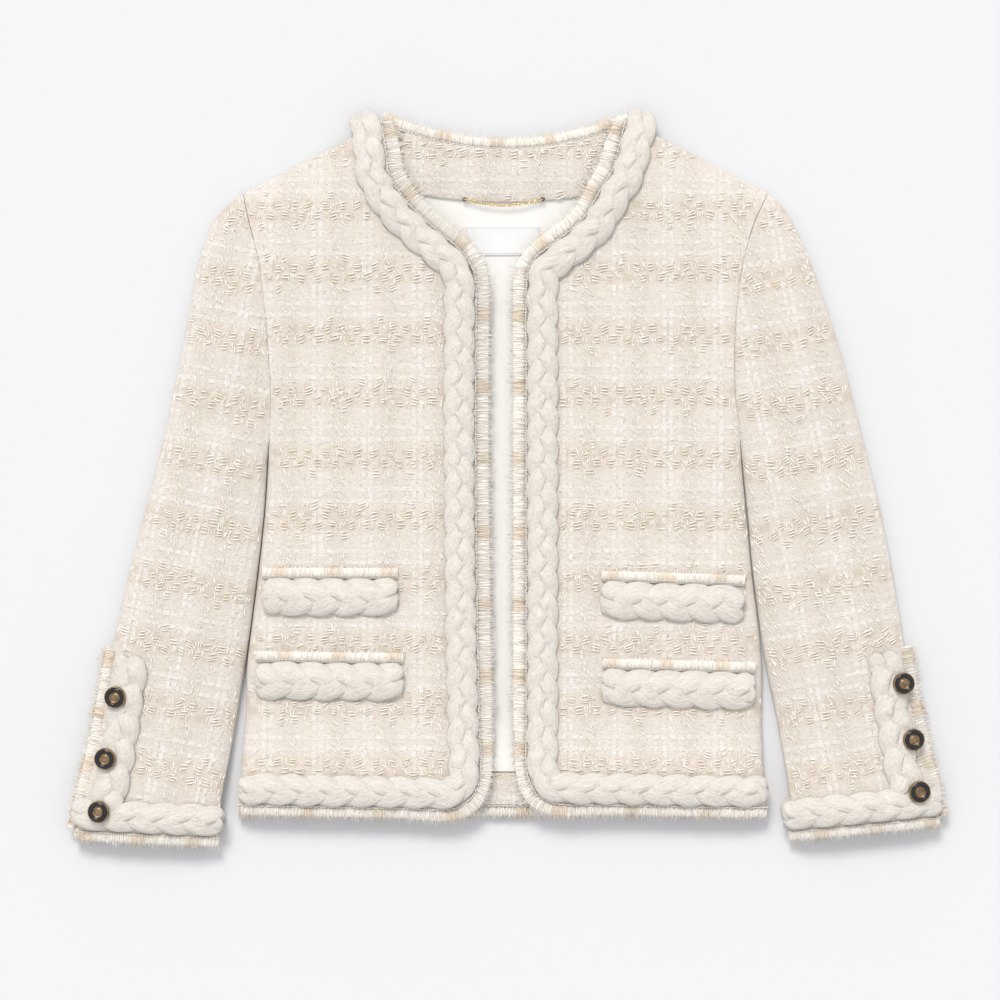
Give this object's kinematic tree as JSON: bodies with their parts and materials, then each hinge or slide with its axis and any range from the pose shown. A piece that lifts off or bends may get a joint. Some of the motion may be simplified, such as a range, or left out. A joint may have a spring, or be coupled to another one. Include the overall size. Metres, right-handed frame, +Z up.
{
  "type": "cropped tweed jacket",
  "caption": "Collarless cropped jacket in cream tweed, edged with plaited wool braid and frayed fringe, with patch pocket bands and buttoned cuffs, laid flat on its back.",
  "frame": {"origin": "middle of the footprint, on the surface that the jacket lies on", "axes": "+X towards the wearer's left sleeve, +Y up the garment towards the neck, +Z up off the surface, out of the fronts"},
  "size_m": [0.6722, 0.564, 0.0274],
  "materials": {
    "tweed": "cream wool tweed with slubby beige and ivory floats in soft bands, matt with a little lustre on the floats",
    "lining": "smooth off-white satin lining",
    "label_cloth": "bare white woven label, matt",
    "braid": "chunky three-strand plait of soft brushed ivory wool roving",
    "fringe": "frayed tweed yarn ends, ivory with beige patches",
    "antique_brass": "antiqued brass, brushed dished face and bright rim",
    "black_enamel": "glossy black enamel ring",
    "gold_chain": "bright gilt hanger chain"
  },
  "bodies": {
    "root": {"back": "tweed", "back_hem_braid": "braid", "back_hem_facing": "tweed", "back_hem_fringe": "fringe", "back_lining": "lining", "back_neck_braid": "braid", "back_neck_facing": "tweed", "back_neck_fringe": "fringe", "button_left_1": "antique_brass", "button_left_2": "antique_brass", "button_left_3": "antique_brass", "button_right_1": "antique_brass", "button_right_2": "antique_brass", "button_right_3": "antique_brass", "button_ring_left_1": "black_enamel", "button_ring_left_2": "black_enamel", "button_ring_left_3": "black_enamel", "button_ring_right_1": "black_enamel", "button_ring_right_2": "black_enamel", "button_ring_right_3": "black_enamel", "cuff_braid_over_left": "braid", "cuff_braid_over_right": "braid", "cuff_braid_under_left": "braid", "cuff_braid_under_right": "braid", "cuff_fringe_over_left": "fringe", "cuff_fringe_over_right": "fringe", "cuff_fringe_under_left": "fringe", "cuff_fringe_under_right": "fringe", "front_braid_left": "braid", "front_braid_right": "braid", "front_fringe_left": "fringe", "front_fringe_right": "fringe", "front_left": "tweed", "front_right": "tweed", "hanger_chain": "gold_chain", "label": "label_cloth", "pocket_braid_lower_left": "braid", "pocket_braid_lower_right": "braid", "pocket_braid_upper_left": "braid", "pocket_braid_upper_right": "braid", "pocket_fringe_lower_left": "fringe", "pocket_fringe_lower_right": "fringe", "pocket_fringe_upper_left": "fringe", "pocket_fringe_upper_right": "fringe", "top_sleeve_left": "tweed", "top_sleeve_right": "tweed", "under_sleeve_left": "tweed", "under_sleeve_right": "tweed", "vent_braid_left": "braid", "vent_braid_right": "braid", "vent_fringe_left": "fringe", "vent_fringe_right": "fringe"}
  },
  "joints": []
}
